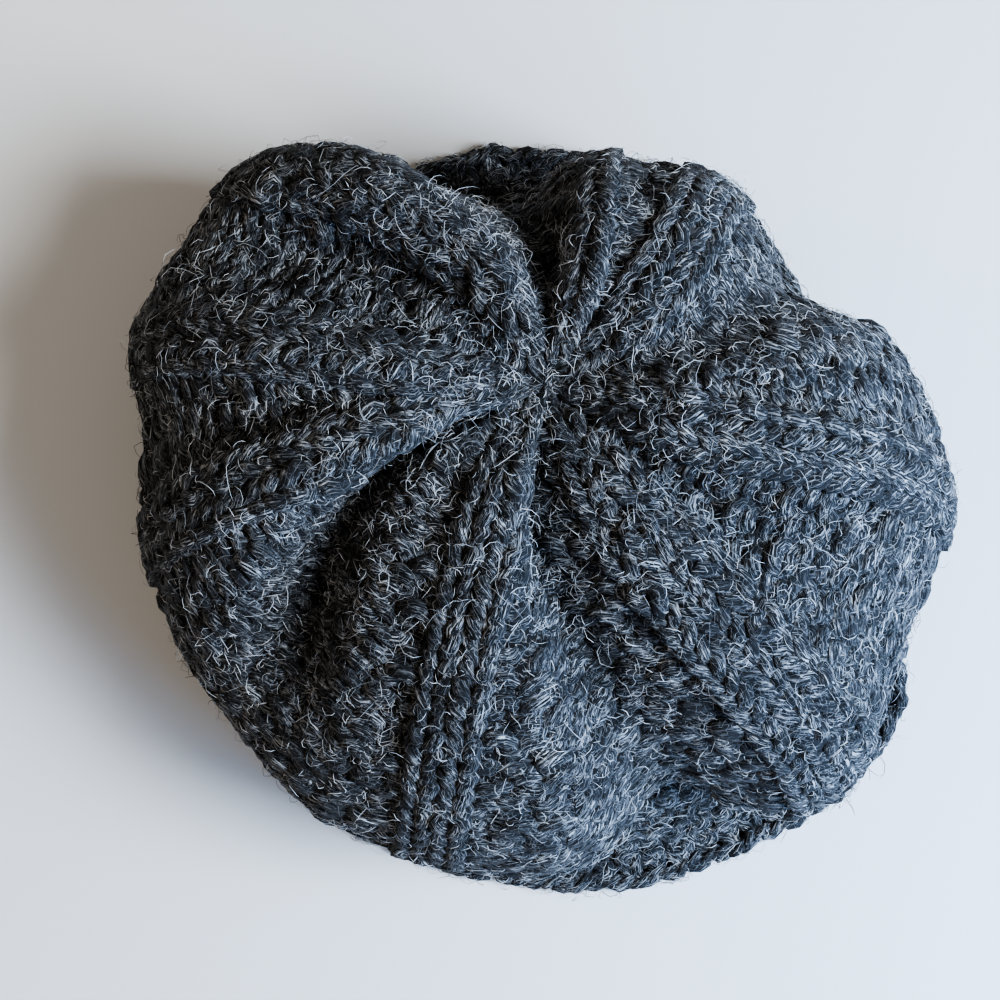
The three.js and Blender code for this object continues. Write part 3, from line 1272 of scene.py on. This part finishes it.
def new_finish(
    name: str, roughness: float, specular: float
) -> tuple[bpy.types.Material, NodeTools, bpy.types.Node]:
    """Starts a finish.

    Args:
        name: the material's name.
        roughness: how rough it is.
        specular: how strongly it shines, where 0.5 is plain.

    Returns:
        The material, its tools and its shader.
    """
    made = bpy.data.materials.new(name)
    made.use_nodes = True
    shader = made.node_tree.nodes["Principled BSDF"]
    shader.inputs["Roughness"].default_value = roughness
    shader.inputs["Specular IOR Level"].default_value = specular
    return made, NodeTools(made.node_tree), shader


@dataclass(frozen=True)
class Wool:
    """The spun charcoal wool of the stitches."""

    dark: tuple = (0.003, 0.0029, 0.0031, 1)
    mid: tuple = (0.01, 0.0099, 0.0104, 1)
    pale: tuple = (0.5, 0.5, 0.5, 1)
    streaks: float = 0.8
    streak_height: float = 0.6  # against a stray fibre's
    strays: float = 0.3
    stray_scale: float = 420.0
    stray_width: float = 0.025
    patch_scale: float = 160.0
    patch_range: tuple = (0.35, 0.62, 0.25, 1.0)  # over which noise, and to which strength
    bump: float = 0.8
    bump_height: float = 0.35 * MM
    roughness: float = 0.85
    specular: float = 0.3
    sheen: float = 0.06
    sheen_roughness: float = 0.5
    sheen_tint: tuple = (0.75, 0.78, 0.85, 1)

    def material(
        self, streaks: bpy.types.NodeTree, strays: bpy.types.NodeTree
    ) -> bpy.types.Material:
        """Builds the finish.

        Args:
            streaks: the group of fibres that run along the yarn.
            strays: the group of short curling fibres.

        Returns:
            The material.
        """
        made, tools, shader = new_finish("spun_charcoal_wool", self.roughness, self.specular)
        uv = tools.add("ShaderNodeUVMap", {"uv_map": YARN_UV})
        place = tools.add("ShaderNodeTexCoord").outputs["Object"]
        run = tools.add("ShaderNodeGroup", {"node_tree": streaks}, Vector=uv.outputs["UV"])
        stray = tools.add(
            "ShaderNodeGroup",
            {"node_tree": strays},
            Vector=place,
            Scale=self.stray_scale,
            Width=self.stray_width,
        )
        patch = tools.add("ShaderNodeTexNoise", Vector=place, Scale=self.patch_scale, Detail=1.0)
        patches = tools.mapped(patch.outputs["Fac"], *self.patch_range)
        base = tools.mixed(run.outputs["Tone"], self.dark, self.mid)
        streaked = tools.maths("MULTIPLY", run.outputs["Streaks"], self.streaks)
        colour = tools.mixed(tools.maths("MULTIPLY", streaked, patches), base, self.pale)
        haired = tools.maths("MULTIPLY", stray.outputs["Fibres"], self.strays)
        tools.set(shader.inputs["Base Color"], tools.mixed(haired, colour, self.pale))
        raised = tools.maths("MULTIPLY", run.outputs["Streaks"], self.streak_height)
        height = tools.maths("ADD", raised, stray.outputs["Fibres"])
        tools.bumped(shader, height, self.bump, self.bump_height)
        shader.inputs["Sheen Weight"].default_value = self.sheen
        shader.inputs["Sheen Roughness"].default_value = self.sheen_roughness
        shader.inputs["Sheen Tint"].default_value = self.sheen_tint
        return made


@dataclass(frozen=True)
class LooseFibre:
    """The finish of the loose fibres, each its own shade of grey."""

    dark: tuple = (0.02, 0.019, 0.018, 1)
    pale: tuple = (0.68, 0.67, 0.655, 1)
    roughness: float = 0.6
    specular: float = 0.3

    def material(self) -> bpy.types.Material:
        """Builds the finish.

        Returns:
            The material.
        """
        made, tools, shader = new_finish("loose_wool_fibre", self.roughness, self.specular)
        uv = tools.add("ShaderNodeUVMap", {"uv_map": FIBRE_UV})
        parts = tools.add("ShaderNodeSeparateXYZ", Vector=uv.outputs["UV"])
        shade = tools.mixed(parts.outputs["X"], self.dark, self.pale)
        tools.set(shader.inputs["Base Color"], shade)
        return made


@dataclass(frozen=True)
class FeltedCore:
    """The dark felted wool deep between the loops."""

    dark: tuple = (0.012, 0.0112, 0.0108, 1)
    pale: tuple = (0.3, 0.28, 0.26, 1)
    stray_scale: float = 520.0
    stray_width: float = 0.03
    bump: float = 0.8
    bump_height: float = 0.3 * MM
    roughness: float = 1.0
    specular: float = 0.2

    def material(self, strays: bpy.types.NodeTree) -> bpy.types.Material:
        """Builds the finish.

        Args:
            strays: the group of short curling fibres.

        Returns:
            The material.
        """
        made, tools, shader = new_finish("felted_core", self.roughness, self.specular)
        place = tools.add("ShaderNodeTexCoord")
        stray = tools.add(
            "ShaderNodeGroup",
            {"node_tree": strays},
            Vector=place.outputs["Object"],
            Scale=self.stray_scale,
            Width=self.stray_width,
        ).outputs["Fibres"]
        tools.set(shader.inputs["Base Color"], tools.mixed(stray, self.dark, self.pale))
        tools.bumped(shader, stray, self.bump, self.bump_height)
        return made


@dataclass
class Studio:
    """A pale floor, a window and a blue sky at the right, a soft fill, and the camera overhead."""

    elevation: float = 86.0
    roll: float = 1.5
    distance: float = 0.48
    aim: tuple = (0.0, 0.0, 0.045)
    lens: float = 75.0
    sensor: float = 36.0
    shift: tuple = (-0.04, 0.003)
    floor_size: float = 40.0
    floor_colour: tuple = (0.62, 0.6, 0.57, 1)
    floor_roughness: float = 0.8
    floor_specular: float = 0.5
    room_colour: tuple = (1.0, 0.97, 0.94, 1)
    room_light: float = 0.32
    look: str = "AgX - High Contrast"
    # Each light's name, place, size, power in watts, and colour.
    lights: tuple = (
        ("window", (0.87, -0.16, 0.82), 0.5, 27, (0.86, 0.93, 1.0)),
        ("sky", (0.36, -0.14, 0.24), 0.4, 4.6, (0.17, 0.47, 1.0)),
        ("fill", (-0.8, -0.3, 0.7), 1.2, 2.3, (1.0, 0.8, 0.6)),
    )

    def camera(self) -> None:
        """Sets the camera up."""
        data = bpy.data.cameras.new("overhead_camera")
        data.lens = self.lens
        data.sensor_width = self.sensor
        data.shift_x, data.shift_y = self.shift
        made = bpy.data.objects.new("overhead_camera", data)
        bpy.context.scene.collection.objects.link(made)
        rise = math.radians(self.elevation)
        back = Vector((0, -math.cos(rise), math.sin(rise)))
        made.location = Vector(self.aim) + back * self.distance
        turn = (-back).to_track_quat("-Z", "Y").to_matrix().to_4x4()
        roll = Matrix.Rotation(math.radians(self.roll), 4, "Z")
        made.matrix_world = Matrix.Translation(made.location) @ turn @ roll
        bpy.context.scene.camera = made

    def light(self, name: str, place: tuple, size: float, power: float, colour: tuple) -> None:
        """Adds a square soft light that points at the hat.

        Args:
            name: its name.
            place: where it is.
            size: the length of its side.
            power: in watts.
            colour: its colour.
        """
        data = bpy.data.lights.new(name, "AREA")
        data.shape, data.size, data.energy, data.color = "SQUARE", size, power, colour
        made = bpy.data.objects.new(name, data)
        bpy.context.scene.collection.objects.link(made)
        made.location = place
        made.visible_camera = False
        made.rotation_mode = "QUATERNION"
        made.rotation_quaternion = (Vector(self.aim) - Vector(place)).to_track_quat("-Z", "Y")

    def build(self) -> None:
        """Sets up the floor, the lights and the camera."""
        bpy.ops.object.select_all(action="DESELECT")
        bpy.ops.mesh.primitive_plane_add(size=self.floor_size, location=(0, 0, 0))
        floor = bpy.context.object
        floor.name = "studio_floor"
        paper, _, shader = new_finish("pale_floor", self.floor_roughness, self.floor_specular)
        shader.inputs["Base Color"].default_value = self.floor_colour
        floor.data.materials.append(paper)
        bpy.context.scene.view_settings.look = self.look
        for light in self.lights:
            self.light(*light)
        world = bpy.data.worlds.new("studio_world")
        world.use_nodes = True
        room = world.node_tree.nodes["Background"]
        room.inputs["Color"].default_value = self.room_colour
        room.inputs["Strength"].default_value = self.room_light
        bpy.context.scene.world = world
        self.camera()


def plan_middle() -> tuple[float, float]:
    """Finds where the middle of the frame is in the plan of the hat's own tables.

    Returns:
        Its x and its y, in millimetres.
    """
    places = np.linspace(0, len(PROFILE) - 1, PLAN_ROWS)
    bearing, place = np.meshgrid(np.arange(0, TURN, PLAN_STEP), places, indexing="ij")
    crown = CrownForm().face(bearing, place).reshape(-1, 3)
    low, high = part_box("ribbed_crown")
    middle = (crown.min(0) + crown.max(0)) / 2
    return (
        float(middle[0] - (low.x + high.x) / 2 / MM),
        float(middle[1] - (low.y + high.y) / 2 / MM),
    )


def dress(piece: bpy.types.Object, material: bpy.types.Material) -> None:
    """Gives a piece its finish, and lets it ride with the hat.

    Args:
        piece: the piece.
        material: its finish.
    """
    piece.data.materials.clear()
    piece.data.materials.append(material)
    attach(piece, "root")
    LOG.info("%s: %d faces", piece.name, len(piece.data.polygons))


def main() -> None:
    """Knits the hat and sets up its studio."""
    logging.basicConfig(level=logging.INFO, format="%(name)s %(message)s")
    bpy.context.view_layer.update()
    centre = plan_middle()
    strays_drawn = stray_line_group()
    wool = Wool().material(streak_group(), strays_drawn)
    fibre, felt = LooseFibre().material(), FeltedCore().material(strays_drawn)

    crown_rounds, crown_swept, crown_cloth = Crown(centre=centre).build()
    brim_rounds, brim_swept, brim_cloth = Brim(centre=centre).build()
    crown_core = Core(name="crown_core", rows=48, ends=(0.01, 1.0)).build(crown_cloth)
    brim_core = Core(name="brim_core", rows=6, ends=(0.1, 0.99)).build(brim_cloth)
    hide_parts("ribbed_crown")
    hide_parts("brim_band")
    for piece in crown_rounds + brim_rounds:
        dress(piece, wool)
    dress(crown_core, felt)
    dress(brim_core, felt)

    swept = {**crown_swept, "brim": brim_swept}
    curls = Fuzz()
    strays = Fuzz(
        thickness=0.085 * MM, points=6, length=(5 * MM, 12 * MM), stand=0.45, ceiling=2.4 * MM,
        rng=np.random.default_rng(22),
    )  # fmt: skip
    for name, (curl_count, stray_count) in FIBRES.items():
        dress(curls.build(f"{name}_curls", swept[name], curl_count), fibre)
        dress(strays.build(f"{name}_strays", swept[name], stray_count), fibre)

    Studio().build()


if __name__ == "__main__":
    main()
